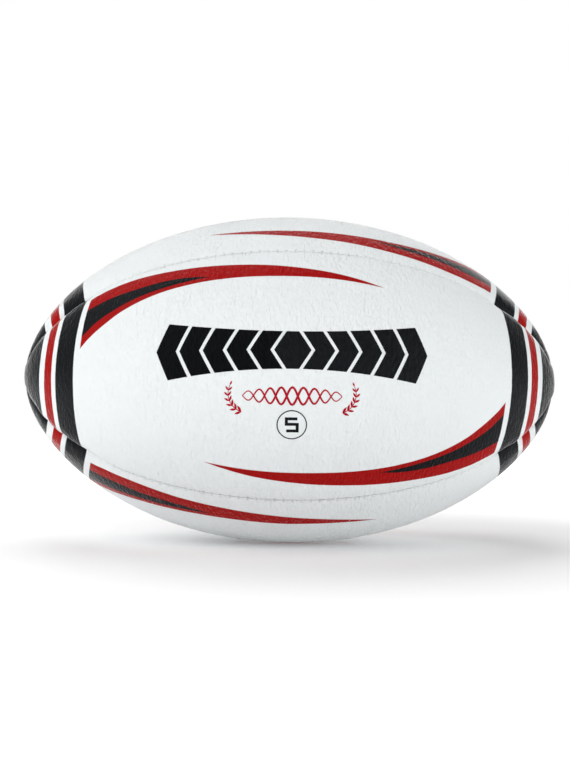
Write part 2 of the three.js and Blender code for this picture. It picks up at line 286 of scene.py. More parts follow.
class Case:
    """Where any point of any layer of the sewn case lies."""

    def __init__(self, scene):
        self.shape, self.cover = scene.ball_shape, scene.ball_cover
        self.stitching, self.valve = scene.ball_stitching, scene.ball_valve
        self.half_length = self.shape.ball_length / 2
        self.crown_radius = self.shape.diameter / 2
        self.bend = 2 * self.shape.profile_power
        self.rounded_radius = self.shape.tip_hole + self.shape.tip_tuck
        self.plain_angle = self.angle_at_radius(self.rounded_radius)
        self.runs = self.measure_runs()
        self.plain_run = self.run_at(self.plain_angle)
        self.ring_at_angle = lru_cache(maxsize=None)(self.make_ring)

    def angle_at_radius(self, radius):
        return math.acos((radius / self.crown_radius) ** (1 / self.bend))

    def outline(self, angle):
        """Place, radius and outward normal of the outline, at an angle from the middle to a tip."""
        cosine = math.cos(angle)
        slope = self.bend * self.crown_radius * cosine ** (self.bend - 1) * math.sin(angle)
        normal = Vector((slope, self.half_length * cosine)).normalized()
        return self.half_length * math.sin(angle), self.crown_radius * cosine**self.bend, normal

    def measure_runs(self):
        """How far along the outline each of many equal angles lies from the middle."""
        runs, last = [0.0], Vector((0, self.crown_radius))
        for step in range(1, RUN_STEPS + 1):
            x, radius, _ = self.outline(RUN_END * step / RUN_STEPS)
            point = Vector((x, radius))
            runs.append(runs[-1] + (point - last).length)
            last = point
        return runs

    def run_at(self, angle):
        place = min(abs(angle) / RUN_END * RUN_STEPS, RUN_STEPS - 1e-6)
        low = int(place)
        run = self.runs[low] + (place - low) * (self.runs[low + 1] - self.runs[low])
        return math.copysign(run, angle)

    def angle_at_run(self, run):
        place = min(max(bisect(self.runs, abs(run)), 1), RUN_STEPS)
        low, high = self.runs[place - 1], self.runs[place]
        share = (place - 1 + (abs(run) - low) / (high - low)) / RUN_STEPS
        return math.copysign(share * RUN_END, run)

    def make_ring(self, angle, tuck=0.0):
        x, radius, normal = self.outline(angle)
        end = ease(abs(x), *TURN_OF_ENDS)
        return Ring(x, radius, normal, self.run_at(angle), end, min(1, radius / NARROW_RADIUS), tuck)

    def ring(self, along, rows):
        """The ring at a place from -1 to 1 along a sheet of rows, the last of which tuck into the tips."""
        plain = 1 - 2 * TIP_ROWS / rows
        past = abs(along) - plain
        if past <= 1e-9:
            return self.ring_at_angle(self.angle_at_run(self.plain_run * along / plain))
        tucked = past / (1 - plain) * TIP_ROWS  # in rows
        turning = min(1, tucked / (TIP_ROWS - FLOOR_ROWS)) * math.pi / 2
        radius = self.rounded_radius - self.shape.tip_tuck * math.sin(turning)
        depth = self.shape.tip_tuck * (1 - math.cos(turning)) + max(0, tucked - TIP_ROWS + FLOOR_ROWS) * MM
        angle = math.copysign(self.angle_at_radius(radius), along)
        return self.ring_at_angle(angle, depth)

    def ring_at(self, x):
        return self.ring_at_angle(math.asin(x / self.half_length))

    def point(self, turn, ring, angle, depth):
        """The point at an angle from the middle of a panel, and a depth below the cover."""
        sunk = depth + ring.tuck + self.sag(ring, angle)
        r = ring.radius - sunk * ring.normal.y
        place = turn * 2 * HALF_TURN - angle
        x = ring.x - sunk * ring.normal.x
        return Vector((x, r * math.cos(place), r * math.sin(place)))

    def sag(self, ring, angle):
        """How far every layer lies below the round outline: the panels' crown and the roll at the seams."""
        share = angle / HALF_TURN
        from_seam = ring.radius * math.sin(max(0, HALF_TURN - abs(angle)))
        roll = self.cover.roll + self.cover.end_roll * ring.end
        width = (ROLL_WIDTH[0] + ROLL_WIDTH[1] * ring.end) * ring.narrow
        flat = ring.radius / self.crown_radius
        return self.shape.crown * flat * share**2 + roll * ring.narrow * (1 - ease(from_seam, 0, width))

    def angle_from_seam(self, ring, distance, depth):
        """The angle from the middle of a panel of a point so far from the plane of its seam."""
        sunk = depth + ring.tuck + self.sag(ring, HALF_TURN)
        r = max(ring.radius - sunk * ring.normal.y, 0.1 * MM)
        return HALF_TURN - math.asin(min(0.7, distance * ring.narrow / r))

    def rounding(self, ring, layer):
        """Width and depth of a layer's rounded edge."""
        if not layer.outside:
            return layer.turn, layer.turn
        cover = self.cover
        width = cover.edge_round + (cover.end_round_width - cover.edge_round) * ring.end
        return width, cover.edge_round + (cover.end_round_depth - cover.edge_round) * ring.end

    def stitch(self, seam, run):
        """How near a place along a seam is to a stitch, 1 at the stitch, times how hard it is pulled."""
        place = run / self.stitching.pitch
        pulled = 1 + PULL_SPREAD * noise.noise(Vector((round(place) * 1.7, seam * 11.3, 0.5)))
        return (0.5 + 0.5 * math.cos(2 * math.pi * place)) ** 4 * pulled

    def settle(self, ring, panel, angle):
        """How far the outside of the cover is drawn in: dimples, gathers, folds and unevenness."""
        cover, side = self.cover, math.copysign(1, angle)
        seam = (2 * panel - side) % 8
        away = ring.radius * math.sin(max(0, HALF_TURN - abs(angle)))
        fine = noise.noise(Vector((ring.run / GATHER_LENGTH, seam * 7.3, side * 3.1)))
        broad = noise.noise(Vector((ring.run / FOLD_LENGTH, seam * 5.7, side * 2.3 + away / FOLD_WIDTH)))
        slow = noise.noise(Vector((ring.x / SWELL_LENGTH, panel * 9.1, angle * SWELL_TURN)))
        beside = (away - DENT_FROM_SEAM) / DENT_REACH
        dimple = cover.stitch_pull * self.stitch(seam, ring.run) * math.exp(-beside * beside)
        gathers = cover.gather * fine * math.exp(-away / GATHER_REACH)
        folds = cover.end_gather * broad * ring.end * math.exp(-away / FOLD_REACH)
        return (dimple + gathers + folds + cover.unevenness * slow) * ring.narrow

    def column(self, ring, zones, column, layer):
        """Angle from the middle of the panel and depth, for a column counted from the middle."""
        side, count = math.copysign(1, column), abs(column)
        width, drop = self.rounding(ring, layer)
        edge_angle = self.angle_from_seam(ring, EDGE_ZONE, 0)
        if count <= zones.middle:
            share = math.sinh(MIDDLE_SPREAD * count / zones.middle) / math.sinh(MIDDLE_SPREAD)
            return side * edge_angle * share, layer.top
        count -= zones.middle
        shoulder = layer.face + width
        if count <= zones.edge:
            share = (1 - count / zones.edge) ** EDGE_SPREAD
            distance = shoulder + (EDGE_ZONE - shoulder) * share
            return side * self.angle_from_seam(ring, distance, layer.top), layer.top
        count -= zones.edge
        turned = min(1, count / zones.turn) * math.pi / 2
        foot = layer.top + drop * (1 - math.cos(turned)) * (ring.narrow if layer.outside else 1)
        below = max(0, count - zones.turn) / zones.face
        depth = foot + (layer.floor - foot) * below
        distance = layer.face + width * (1 - math.sin(turned))
        if layer.outside:
            seam_side = math.sin(turned) ** 4
            distance += self.stitching.hole * seam_side * self.stitch(0, ring.run) * (1 - ring.end)
        return side * self.angle_from_seam(ring, distance, depth), depth

    def place(self, panel, ring, angle, depth, outside):
        """The finished point, with the cover's own unevenness if it is on the outside."""
        drawn = self.settle(ring, panel, angle) if outside else 0
        if outside and panel == PANELS["back"]:
            near = Vector((ring.x, ring.radius * angle)).length
            drawn += VALVE_DIP * (1 - ease(near, self.valve_hole, self.valve_hole + VALVE_DIP_REACH))
        return self.point(panel, ring, angle, depth + drawn)

    @property
    def valve_hole(self):
        return self.valve.boss / 2 + self.valve.clearance

    # the layers, from the outside in

    def cover_outside(self):
        return Layer(self.cover.seam_gap / 2, 0, 0, self.cover.allowance, True)

    def inside(self, offset, floor):
        """A face this far inside the cover."""
        cover = self.cover
        turn = cover.inside_turn + offset * (math.sqrt(2) - 2)
        return Layer(cover.seam_gap / 2 + cover.wall + offset, cover.wall + offset, turn, floor)

    def ply_offset(self, number):
        """How far inside the cover a ply lies, the first being 0, and the bladder after the last ply."""
        return self.cover.layer_gap + number * (self.cover.ply_wall + self.cover.layer_gap)


# ---- meshes ----


SHARP = math.radians(42)  # edges that turn more than this stay sharp


def finished(name, shape, finish, replaces=()):
    """Makes a piece of a bmesh, in its place, riding on the ball."""
    bmesh.ops.recalc_face_normals(shape, faces=shape.faces[:])
    for face in shape.faces:
        face.smooth = True
    for edge in shape.edges:
        if edge.is_manifold and edge.calc_face_angle() > SHARP:
            edge.smooth = False
    mesh = bpy.data.meshes.new(name)
    shape.to_mesh(mesh)
    shape.free()
    for material in finish if isinstance(finish, (list, tuple)) else [finish]:
        mesh.materials.append(material)
    piece = bpy.data.objects.new(name, mesh)
    bpy.context.scene.collection.objects.link(piece)
    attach(piece, BODY)
    if replaces:
        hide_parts(*replaces)
    return piece


def slab(rows, columns, open_up=None):
    """A flat closed slab: x runs from -1 to 1 along it, y counts columns from its middle, z is 0 or -1."""
    shape = bmesh.new()
    bmesh.ops.create_grid(shape, x_segments=rows, y_segments=2 * columns, size=1)
    for vertex in shape.verts:
        vertex.co.y *= columns
    if open_up:
        open_up(shape)
    bmesh.ops.solidify(shape, geom=shape.faces[:], thickness=1)
    return shape


def is_outer(vertex):
    return vertex.co.z > -0.5


MAP_HALF = 0.49  # what a slab takes of its bake map, to each side of the middle
FACE_HALF = 0.24
RIM_STRIP = 0.004  # between the outer face's part and the inner one's


def lay_out(shape, bands):
    """Gives a slab its bake map: the outer face in the upper half of it and the inner face in the lower."""
    bake = shape.loops.layers.uv.new("OFBake")
    for face in shape.faces:
        height = sum(vertex.co.z for vertex in face.verts) / len(face.verts)
        on_rim = abs(height + 0.5) <= 0.25
        middle = 0.75 if height > -0.5 else 0.25
        for loop in face.loops:
            flat = loop.vert.co
            up = 0.5 + RIM_STRIP * (flat.z + 0.5) if on_rim else middle + FACE_HALF * bands(flat.y)
            loop[bake].uv = (0.5 + MAP_HALF * flat.x, up)


COVER_ZONES = Zones(middle=17, edge=10, turn=6, face=2)
COVER_ROWS = 636
PLY_ZONES = Zones(middle=12, edge=3, turn=5, face=2)
PLY_ROWS = 120
PLY_REACH = 0.92  # the plies stop this share of the way to the tips
PLY_FLAT_HALF = 0.1 * HALF_TURN  # metres, half a ply laid flat, which the weave is scaled to
SPREAD_OF_RINGS = (60 * MM, 110 * MM)  # along the ball, where the top and bottom rings begin to spread


def widths(case, zones, layer):
    """A function from a column to its place across the panel laid flat, edges and all, from -1 to 1."""
    ring = case.ring_at(0)
    reach, last = [0.0], None
    for column in range(zones.all + 1):
        angle, depth = case.column(ring, zones, column, layer)
        point = case.point(0, ring, angle, depth)
        if last is not None:
            reach.append(reach[-1] + (point - last).length)
        last = point

    def across(column):
        low = min(int(abs(column)), zones.all - 1)
        value = reach[low] + (abs(column) - low) * (reach[low + 1] - reach[low])
        return math.copysign(value / reach[-1], column)

    return across


def add_map(shape, name, places):
    """Gives a mesh a map from a place for each of its vertices."""
    layer = shape.loops.layers.uv.new(name)
    for face in shape.faces:
        for loop in face.loops:
            loop[layer].uv = places[loop.vert]


class ValveHole:
    """The round hole in the back panel, and how the columns and rows near it bend round it."""

    reach = 3.2  # how far out the bending goes, in hole radii
    refined = 1.9  # how far out the mesh is finer
    rounding = 0.45 * MM

    def __init__(self, case):
        self.case = case
        self.radius = case.valve_hole
        self.box = None

    def flat(self, vertex):
        """A flat vertex's place on the panel, in metres along the ball and across."""
        ring = self.case.ring(vertex.co.x, COVER_ROWS)
        angle, _ = self.case.column(ring, COVER_ZONES, vertex.co.y, self.case.cover_outside())
        return Vector((ring.x, ring.radius * angle))

    def open_up(self, shape):
        """Refines the flat sheet round the valve and cuts the hole."""
        window = self.refined * self.radius
        inside = [f for f in shape.faces if all(self.square(self.flat(v)) < window for v in f.verts)]
        edges = list({edge for face in inside for edge in face.edges})
        bmesh.ops.subdivide_edges(shape, edges=edges, cuts=2, use_grid_fill=True)
        near = {v: self.flat(v) for v in shape.verts if abs(v.co.x) < 0.1 and abs(v.co.y) < 8}
        lines = [sorted({round(abs(place[axis]), 7) for place in near.values()}) for axis in (0, 1)]
        self.box = [min(line, key=lambda value: abs(value - self.radius)) for line in lines]
        slack = 1 + 1e-4
        gone = [
            f for f in shape.faces
            if all(v in near and self.square_share(near[v]) < slack for v in f.verts)
        ]
        bmesh.ops.delete(shape, geom=gone, context="FACES")

    def square(self, place):
        return max(abs(place.x), abs(place.y))

    def square_share(self, place):
        return max(abs(place.x) / self.box[0], abs(place.y) / self.box[1])

    def bent(self, place):
        """Turns the square lines near the hole into rings round it."""
        share = self.square_share(place)
        if share >= self.reach or share == 0:
            return place
        even = Vector((place.x / self.box[0], place.y / self.box[1]))
        ringed = even * (share / even.length) * self.radius
        return place.lerp(ringed, 1 - ease(share, 1, self.reach))

    def round_rim(self, shape):
        """Rounds the outer edge of the hole."""
        top = self.case.crown_radius - self.case.cover.wall / 2
        rim = [
            edge for edge in shape.edges
            if all(v.co.y > top and Vector((v.co.x, v.co.z)).length < self.radius * 1.01 for v in edge.verts)
        ]
        bmesh.ops.bevel(
            shape, geom=rim, offset=self.rounding, offset_type="OFFSET", affect="EDGES", segments=4,
            profile=0.5, material=-1,
        )


def cover_panel(case, name, panel, finishes, misprint):
    """One printed cover panel with its turned-in edges."""
    valve = ValveHole(case) if name == "back" else None
    shape = slab(COVER_ROWS, COVER_ZONES.all, valve.open_up if valve else None)
    outer, inner = case.cover_outside(), case.inside(0, case.cover.allowance)
    lay_out(shape, widths(case, COVER_ZONES, outer))
    for face in shape.faces:
        if not any(is_outer(v) for v in face.verts):
            face.material_index = 1
    places, flat_print, flat_seam = {}, {}, {}
    spreads = (0, bpy.context.scene.ball_print.ring_spread)  # back and front, then top and bottom
    for vertex in shape.verts:
        outside = is_outer(vertex)
        ring = case.ring(vertex.co.x, COVER_ROWS)
        angle, depth = case.column(ring, COVER_ZONES, vertex.co.y, outer if outside else inner)
        if valve and abs(vertex.co.y) < COVER_ZONES.middle:
            flat = valve.bent(Vector((ring.x, ring.radius * angle)))
            if flat.x != ring.x:
                ring = case.make_ring(math.asin(flat.x / case.half_length))
                angle = flat.y / ring.radius
        along = ring.x - (depth + case.sag(ring, angle)) * ring.normal.x
        spread = spreads[panel % 2] * (1 - (angle / HALF_TURN) ** 2) * ease(abs(along), *SPREAD_OF_RINGS)
        along -= misprint + math.copysign(spread, along)
        flat_print[vertex] = (0.5 + along / case.shape.ball_length, 0.5 + angle / HALF_TURN / 2)
        flat_seam[vertex] = (0.5 + ring.run, ring.radius * math.sin(max(0, HALF_TURN - abs(angle))))
        places[vertex] = case.place(panel, ring, angle, depth, outside)
    add_map(shape, "Print", flat_print)
    add_map(shape, "Seam", flat_seam)
    for vertex, place in places.items():
        vertex.co = place
    if valve:
        valve.round_rim(shape)
    return finished(name + "_cover", shape, finishes, [name + "_panel"])


def ply(case, name, panel, number, finish):
    """One fabric ply, glued inside a cover panel."""
    offset = case.ply_offset(number)
    floor = case.cover.allowance - case.cover.ply_trim * (number + 1)
    outer = case.inside(offset, floor)
    inner = case.inside(offset + case.cover.ply_wall, floor)
    shape = slab(PLY_ROWS, PLY_ZONES.all)
    across = widths(case, PLY_ZONES, outer)
    lay_out(shape, across)
    weave = shape.loops.layers.uv.new("Weave")
    for face in shape.faces:
        for loop in face.loops:
            flat = loop.vert.co
            loop[weave].uv = (flat.x * case.half_length, across(flat.y) * PLY_FLAT_HALF)
    reach = case.plain_angle * PLY_REACH
    for vertex in shape.verts:
        ring = case.ring_at_angle(reach * vertex.co.x)
        angle, depth = case.column(ring, PLY_ZONES, vertex.co.y, outer if is_outer(vertex) else inner)
        vertex.co = case.point(panel, ring, angle, depth)
    label = ("outer", "inner")[number]
    piece = finished(f"{name}_{label}_lining", shape, finish, [f"{name}_{label}_ply"])
    if name == "back":
        patch = bpy.context.scene.ball_bladder.valve_patch / 2
        cut(piece, hole_cutter(case, (case.valve_hole, patch + case.cover.layer_gap)[number]))
    return piece


HOLE_SIDES = 96


def hole_cutter(case, radius):
    """A loose round bar along +Y, from the middle of the ball to well past the cover."""
    shape = bmesh.new()
    bmesh.ops.create_cone(
        shape, cap_ends=True, segments=HOLE_SIDES, radius1=radius, radius2=radius, depth=2 * case.crown_radius
    )
    for vertex in shape.verts:
        vertex.co = Vector((vertex.co.x, vertex.co.z + case.crown_radius, vertex.co.y))
    bmesh.ops.recalc_face_normals(shape, faces=shape.faces[:])
    mesh = bpy.data.meshes.new("hole_cutter")
    shape.to_mesh(mesh)
    shape.free()
    tool = bpy.data.objects.new("hole_cutter", mesh)
    bpy.context.scene.collection.objects.link(tool)
    return tool


def cut(piece, tool):
    """Cuts a piece with a loose tool, which is then gone."""
    modifier = piece.modifiers.new("cut", "BOOLEAN")
    modifier.operation, modifier.object, modifier.solver = "DIFFERENCE", tool, "EXACT"
    bpy.context.view_layer.update()
    result = bpy.data.meshes.new_from_object(piece.evaluated_get(bpy.context.evaluated_depsgraph_get()))
    piece.modifiers.remove(modifier)
    old, piece.data = piece.data, result
    result.name = piece.name
    bpy.data.meshes.remove(old)
    bpy.data.objects.remove(tool)


# ---- shader arithmetic ----


class Value:
    """A shader socket that can be used in ordinary arithmetic."""

    def __init__(self, finish, socket):
        self.finish, self.socket = finish, socket

    def math(self, operation, *others, clamp=False):
        settings = {"operation": operation, "use_clamp": clamp}
        return self.finish.node("ShaderNodeMath", settings, dict(enumerate([self, *others])))

    def __add__(self, other):
        return self.math("ADD", other)

    __radd__ = __add__

    def __mul__(self, other):
        return self.math("MULTIPLY", other)

    __rmul__ = __mul__

    def __sub__(self, other):
        return self.math("SUBTRACT", other)

    def __rsub__(self, other):
        return self.finish.node("ShaderNodeMath", {"operation": "SUBTRACT"}, {0: other, 1: self})

    def __truediv__(self, other):
        return self.math("DIVIDE", other)

    def __pow__(self, other):
        return self.math("POWER", other)

    def __abs__(self):
        return self.math("ABSOLUTE")

    def sign(self):
        return self.math("SIGN")

    def sine(self):
        return self.math("SINE")

    def over(self, other, soft):
        """1 where this is over the other, and 0 under it, with a soft edge."""
        return ((self - other) / soft).math("ADD", 0.5, clamp=True)

    def between(self, low, high, soft):
        return self.over(low, soft) * (1 - self.over(high, soft))

    def ranged(self, low, high):
        """This value, which runs from 0 to 1, spread from low to high."""
        return self * (high - low) + low


class Finish:
    """A material and its nodes."""

    def __init__(self, name):
        self.material = bpy.data.materials.new(name)
        self.material.use_nodes = True
        self.nodes, self.links = self.material.node_tree.nodes, self.material.node_tree.links
        self.shader = self.nodes["Principled BSDF"]

    def node(self, kind, settings=None, inputs=None, output=0):
        """A node of any kind: its settings first, then the values or links of its sockets."""
        made = self.nodes.new(kind)
        for key, value in (settings or {}).items():
            if key == "outline":
                self.set_outline(made.mapping, value)
            else:
                setattr(made, key, value)
        for key, value in (inputs or {}).items():
            self.feed(made.inputs[key], value)
        return Value(self, made.outputs[output])

    def feed(self, socket, value):
        if isinstance(value, Value):
            self.links.new(value.socket, socket)
        else:
            socket.default_value = value

    def set_outline(self, mapping, points):
        curve = mapping.curves[0]
        while len(curve.points) < len(points):
            curve.points.new(0.5, 0.5)
        for point, place in zip(curve.points, points):
            point.location = place
        mapping.update()

    def mix(self, share, first, second):
        """One colour over another by a share from 0 to 1."""
        inputs = {"Factor": share, 6: colour4(first), 7: colour4(second)}
        return self.node("ShaderNodeMix", {"data_type": "RGBA"}, inputs, 2)

    def wear(self, **sockets):
        """Sets the shader's own sockets, by names with underscores for spaces."""
        for key, value in sockets.items():
            self.feed(self.shader.inputs[key.replace("_", " ")], value)
        return self.material

    def coordinates(self):
        """Place on the object, in millimetres, along each axis."""
        place = self.node("ShaderNodeTexCoord", output=3)  # Object
        return [part * (1 / MM) for part in self.split(place)]

    def split(self, place):
        """The three parts of a vector."""
        parts = self.node("ShaderNodeSeparateXYZ", inputs={0: place}).socket.node
        return [Value(self, part) for part in parts.outputs]

    def map(self, name):
        """The two places that one of a piece's maps gives."""
        return self.split(self.node("ShaderNodeUVMap", {"uv_map": name}))[:2]

    def vector(self, x, y, z):
        return self.node("ShaderNodeCombineXYZ", inputs={0: x, 1: y, 2: z})

    def noise(self, place, size, detail=2.0, roughness=0.5, distortion=0.0):
        """Soft noise from 0 to 1 with features of about this size, in the units of place."""
        inputs = {
            "Vector": place, "Scale": 1 / size, "Detail": detail, "Roughness": roughness,
            "Distortion": distortion,
        }
        return self.node("ShaderNodeTexNoise", None, inputs)

    def bump(self, height, depth, strength=1.0):
        """A normal from a height that runs from 0 to 1 over this depth in millimetres."""
        inputs = {"Height": height, "Distance": depth * MM, "Strength": strength}
        return self.node("ShaderNodeBump", None, inputs)


def colour4(value):
    return value if isinstance(value, Value) else (*value, 1)


# ---- finishes ----

# Lengths in the finishes are in millimetres, and so are the sizes of their noise.
GRAIN_DEPTH = 0.95
WRINKLE_SIZE, WRINKLE_STRETCH = 1.3, 0.42  # the stretch is round the ball
PEBBLE_SIZE, PEBBLE_STRETCH, PEBBLE_HEIGHT = 0.55, 0.7, 0.13
PLAIN_START, PLAIN_SPAN, PLAINEST = 45, 60, 0.55  # the wrinkles are flatter towards the tips
PATCH_SIZE = 22
PATCH_RANGE = (0.5, 1.5)  # how much of the wrinkles each patch of the cover has
COVER_SHEEN = {"Specular IOR Level": 0.09, "Sheen Weight": 1.0, "Sheen Roughness": 0.2}


def leather_grain(finish):
    """Height of the wrinkled grain, whose wrinkles run round the ball, most of all at its middle."""
    x, y, z = finish.coordinates()
    wrinkled = finish.vector(x, y * WRINKLE_STRETCH, z * WRINKLE_STRETCH)
    wrinkles = finish.noise(wrinkled, WRINKLE_SIZE, detail=1.0, roughness=0.45, distortion=0.35) - 0.5
    pebbled = finish.vector(x, y * PEBBLE_STRETCH, z * PEBBLE_STRETCH)
    pebbles = finish.noise(pebbled, PEBBLE_SIZE, detail=2.0, roughness=0.6)
    plain = ((abs(x) - PLAIN_START) / PLAIN_SPAN).math("ADD", 0, clamp=True) * PLAINEST
    patches = finish.noise(finish.vector(x, y, z), PATCH_SIZE, detail=1.0).ranged(*PATCH_RANGE)
    return wrinkles * (1 - plain) * patches + pebbles * PEBBLE_HEIGHT + 0.5


def toned(tone, factor):
    """A colour made lighter or darker."""
    return [min(1, part * factor) for part in tone]


ANGLE_SPAN = 45  # degrees from the middle of a panel to its seam
WAVER = 0.24  # how far the edges of the print wander
WAVER_LENGTH = 5
BOW_LOSS = 0.083  # how much less each ring bows, for each millimetre nearer the tip
RING_EDGE = 0.22  # how soft the rings' edges are
SWOOSH_EDGE = 0.14  # and the swooshes', in degrees
MOTTLE_SIZE = 16


def printed_cover(scene):
    """White cover with black and red rings, caps and swooshes."""
    design = scene.ball_print
    finish = Finish("printed_cover")
    print_along, print_across = finish.map("Print")
    along = (print_along - 0.5) * (scene.ball_shape.ball_length / MM)
    across = (print_across - 0.5) * (2 * ANGLE_SPAN)
    x, y, z = finish.coordinates()
    place = finish.vector(x, y, z)
    waver = (finish.noise(place, WAVER_LENGTH, detail=2) - 0.5) * WAVER

    half = across.sign()
    angle = abs(across) + waver * 0.5  # degrees from the panel's middle
    swoosh_along = along * half  # from the swoosh's broad end, which is at the ball's end, to its point
    share = angle / ANGLE_SPAN
    lean = swoosh_along.sign() * -1
    far = abs(along) + waver
    ring_lean = design.ring_lean / MM
    bow = design.ring_bow / MM - (far - design.black_ring / MM) * BOW_LOSS
    reach = far + bow * share * share + lean * share * ring_lean

    black_ring = reach.between(design.black_ring / MM, design.black_ring_end / MM, RING_EDGE)
    red_ring = reach.between(design.red_ring / MM, design.red_ring_end / MM, RING_EDGE)
    cap = reach.over(design.cap / MM, RING_EDGE)
    swoosh, wedge = swooshes(finish, swoosh_along, angle)
    short = 1 - reach.over((design.black_ring - design.ring_gap) / MM, RING_EDGE)
    swoosh = swoosh * short
    wedge = wedge * short

    mottle = finish.noise(place, MOTTLE_SIZE, detail=3)
    grain = leather_grain(finish)
    white = finish.mix(mottle, toned(design.white, 0.985), toned(design.white, 1.01))
    red = finish.mix(grain, toned(design.red, 0.86), design.red)
    black = finish.mix(grain, toned(design.black, 0.8), toned(design.black, 1.12))
    # painted shade in the dents of the stitches, mixed over the white
    base = finish.mix(stitch_shade(finish, scene.ball_stitching.pitch, x), white, STITCH_SHADE_TONE)
    base = finish.mix((red_ring + swoosh).math("MINIMUM", 1.0), base, red)
    ink = (black_ring + cap + wedge).math("MINIMUM", 1.0)
    base = finish.mix(ink, base, black)
    gloss = mottle.ranged(0.40, 0.50) - ink * 0.03
    return finish.wear(
        Base_Color=base, Roughness=gloss, Normal=finish.bump(grain, GRAIN_DEPTH), **COVER_SHEEN
    )


STITCH_SHADE_TONE = (0.10, 0.115, 0.105)  # painted shade in the dents of the stitches
STITCH_SHADE = 0.55
STITCH_SPOT = 0.6  # across the seam
SHADE_LENGTH = 9  # how far along it the shade goes from strong to faint
SHADE_RANGE, FAINTEST = (-0.6, 2.0), 0.15
SHADE_END, FAINTEST_END = 130, 0.25  # it fades from the middle of the ball to its ends


def stitch_shade(finish, pitch, x):
    """How much shade is painted on the cover in the dents of the stitches, some of which are deeper than
    others.
    """
    seam_run, seam_away = finish.map("Seam")
    near = (((seam_run - 0.5) * (2 * math.pi / pitch)).math("COSINE") + 1) * 0.5
    across = (1 - abs(seam_away / MM - DENT_FROM_SEAM / MM) / STITCH_SPOT).math("MAXIMUM", 0.0)
    varied = finish.noise(finish.vector(x, 0.0, 0.0), SHADE_LENGTH, detail=2).ranged(*SHADE_RANGE)
    uneven = varied.math("MAXIMUM", FAINTEST)
    middle = (1 - abs(x) / SHADE_END).math("MAXIMUM", FAINTEST_END)
    return near**6 * across * uneven * middle * STITCH_SHADE


SWOOSH_START, SWOOSH_POINT = -112, 44.5  # millimetres along the ball
WEDGE_POINT = -42
# Each edge of a swoosh: millimetres along the ball, and degrees from the middle of the panel.
SWOOSH_OUTER = [
    (-112, 38.5), (-104, 40), (-88, 41), (-60, 40), (-30, 38.5), (0, 36.5), (24, 34), (SWOOSH_POINT, 30.5)
]
SWOOSH_INNER = [
    (-112, 8.5), (-108, 13), (-104, 16.5), (-95, 22), (-86, 26), (-72, 29.5), (-56, 31.5), (-36, 32.5),
    (-8, 32.5), (20, 32), (SWOOSH_POINT, 30.5)
]
WEDGE_OUTER = [(-112, 31.5), (-105, 33), (-94, 34.5), (-80, 35), (-64, 35.5), (-52, 35), (WEDGE_POINT, 34)]
WEDGE_INNER = [
    (-112, 14.5), (-106, 20), (-100, 24), (-91, 27.5), (-79, 30.5), (-64, 32.5), (-52, 33.5),
    (WEDGE_POINT, 34)
]


def swooshes(finish, along, angle):
    """Masks of a red swoosh and of the black wedge in it, from the ball's end towards its middle."""
    span = SWOOSH_POINT - SWOOSH_START
    place = (along - SWOOSH_START) / span

    def edge(points):
        outline = [((x - SWOOSH_START) / span, degrees / ANGLE_SPAN) for x, degrees in points]
        if outline[-1][0] < 1:
            outline.append((1, outline[-1][1]))
        return finish.node("ShaderNodeFloatCurve", {"outline": outline}, {"Value": place}) * ANGLE_SPAN

    def mask(inner, outer, point):
        return angle.between(edge(inner), edge(outer), SWOOSH_EDGE) * (1 - along.over(point, 1))

    swoosh = mask(SWOOSH_INNER, SWOOSH_OUTER, SWOOSH_POINT)
    return swoosh, mask(WEDGE_INNER, WEDGE_OUTER, WEDGE_POINT)


def cover_back():
    """The knitted backing on the inside of the cover."""
    finish = Finish("cover_backing")
    x, y, z = finish.coordinates()
    knit = finish.noise(finish.vector(x * 2, y, z), 0.9, detail=2)
    base = finish.mix(knit, (0.55, 0.53, 0.48), (0.72, 0.70, 0.65))
    return finish.wear(Base_Color=base, Roughness=0.9, Normal=finish.bump(knit, 0.2))


def ink(name, tone):
    """Printing ink over the grain of the cover."""
    finish = Finish(name)
    grain = leather_grain(finish)
    base = finish.mix(grain, toned(tone, 0.82), toned(tone, 1.1))
    gloss = grain.ranged(0.42, 0.5)
    return finish.wear(
        Base_Color=base, Roughness=gloss, Normal=finish.bump(grain, GRAIN_DEPTH), **COVER_SHEEN
    )


def waxed_thread():
    """Twisted thread, with painted shade between its strands."""
    finish = Finish("waxed_thread")
    x, y, z = finish.coordinates()
    twist = ((x * 7 + y * 3 + z * 3).sine() + 1) * 0.5
    # painted shade between the strands
    base = finish.mix(twist, (0.46, 0.45, 0.41), (0.74, 0.73, 0.68))
    return finish.wear(Base_Color=base, Roughness=0.6, Normal=finish.bump(twist, 0.1))


LINING_PITCH = 0.7 * MM  # in metres, as the lining's own map is
PATCH_PITCH = 0.9  # in millimetres, as its pattern lies on the object


def lining_weave():
    """Woven polycotton, warp over weft."""
    finish = Finish("lining_weave")
    along, across = finish.map("Weave")
    turns = 2 * math.pi / LINING_PITCH
    weave = ((along * turns).sine() * (across * turns).sine() + 1) * 0.5
    x, y, z = finish.coordinates()
    slub = finish.noise(finish.vector(x * 3, y * 0.4, z * 0.4), 4, detail=2)
    base = finish.mix(weave * 0.6 + slub * 0.4, (0.50, 0.45, 0.34), (0.74, 0.69, 0.57))
    return finish.wear(Base_Color=base, Roughness=0.92, Normal=finish.bump(weave, 0.12))


def rubber(name, dark, light, roughness, dust):
    """Moulded rubber with a little talc on it."""
    finish = Finish(name)
    x, y, z = finish.coordinates()
    place = finish.vector(x, y, z)
    talc = finish.noise(place, 9, detail=4, roughness=0.62)
    skin = finish.noise(place, 0.5, detail=2)
    base = finish.mix(talc.over(0.62, 0.5) * dust, dark, light)
    gloss = talc.ranged(roughness - 0.06, roughness + 0.08)
    return finish.wear(Base_Color=base, Roughness=gloss, Normal=finish.bump(skin, 0.03))


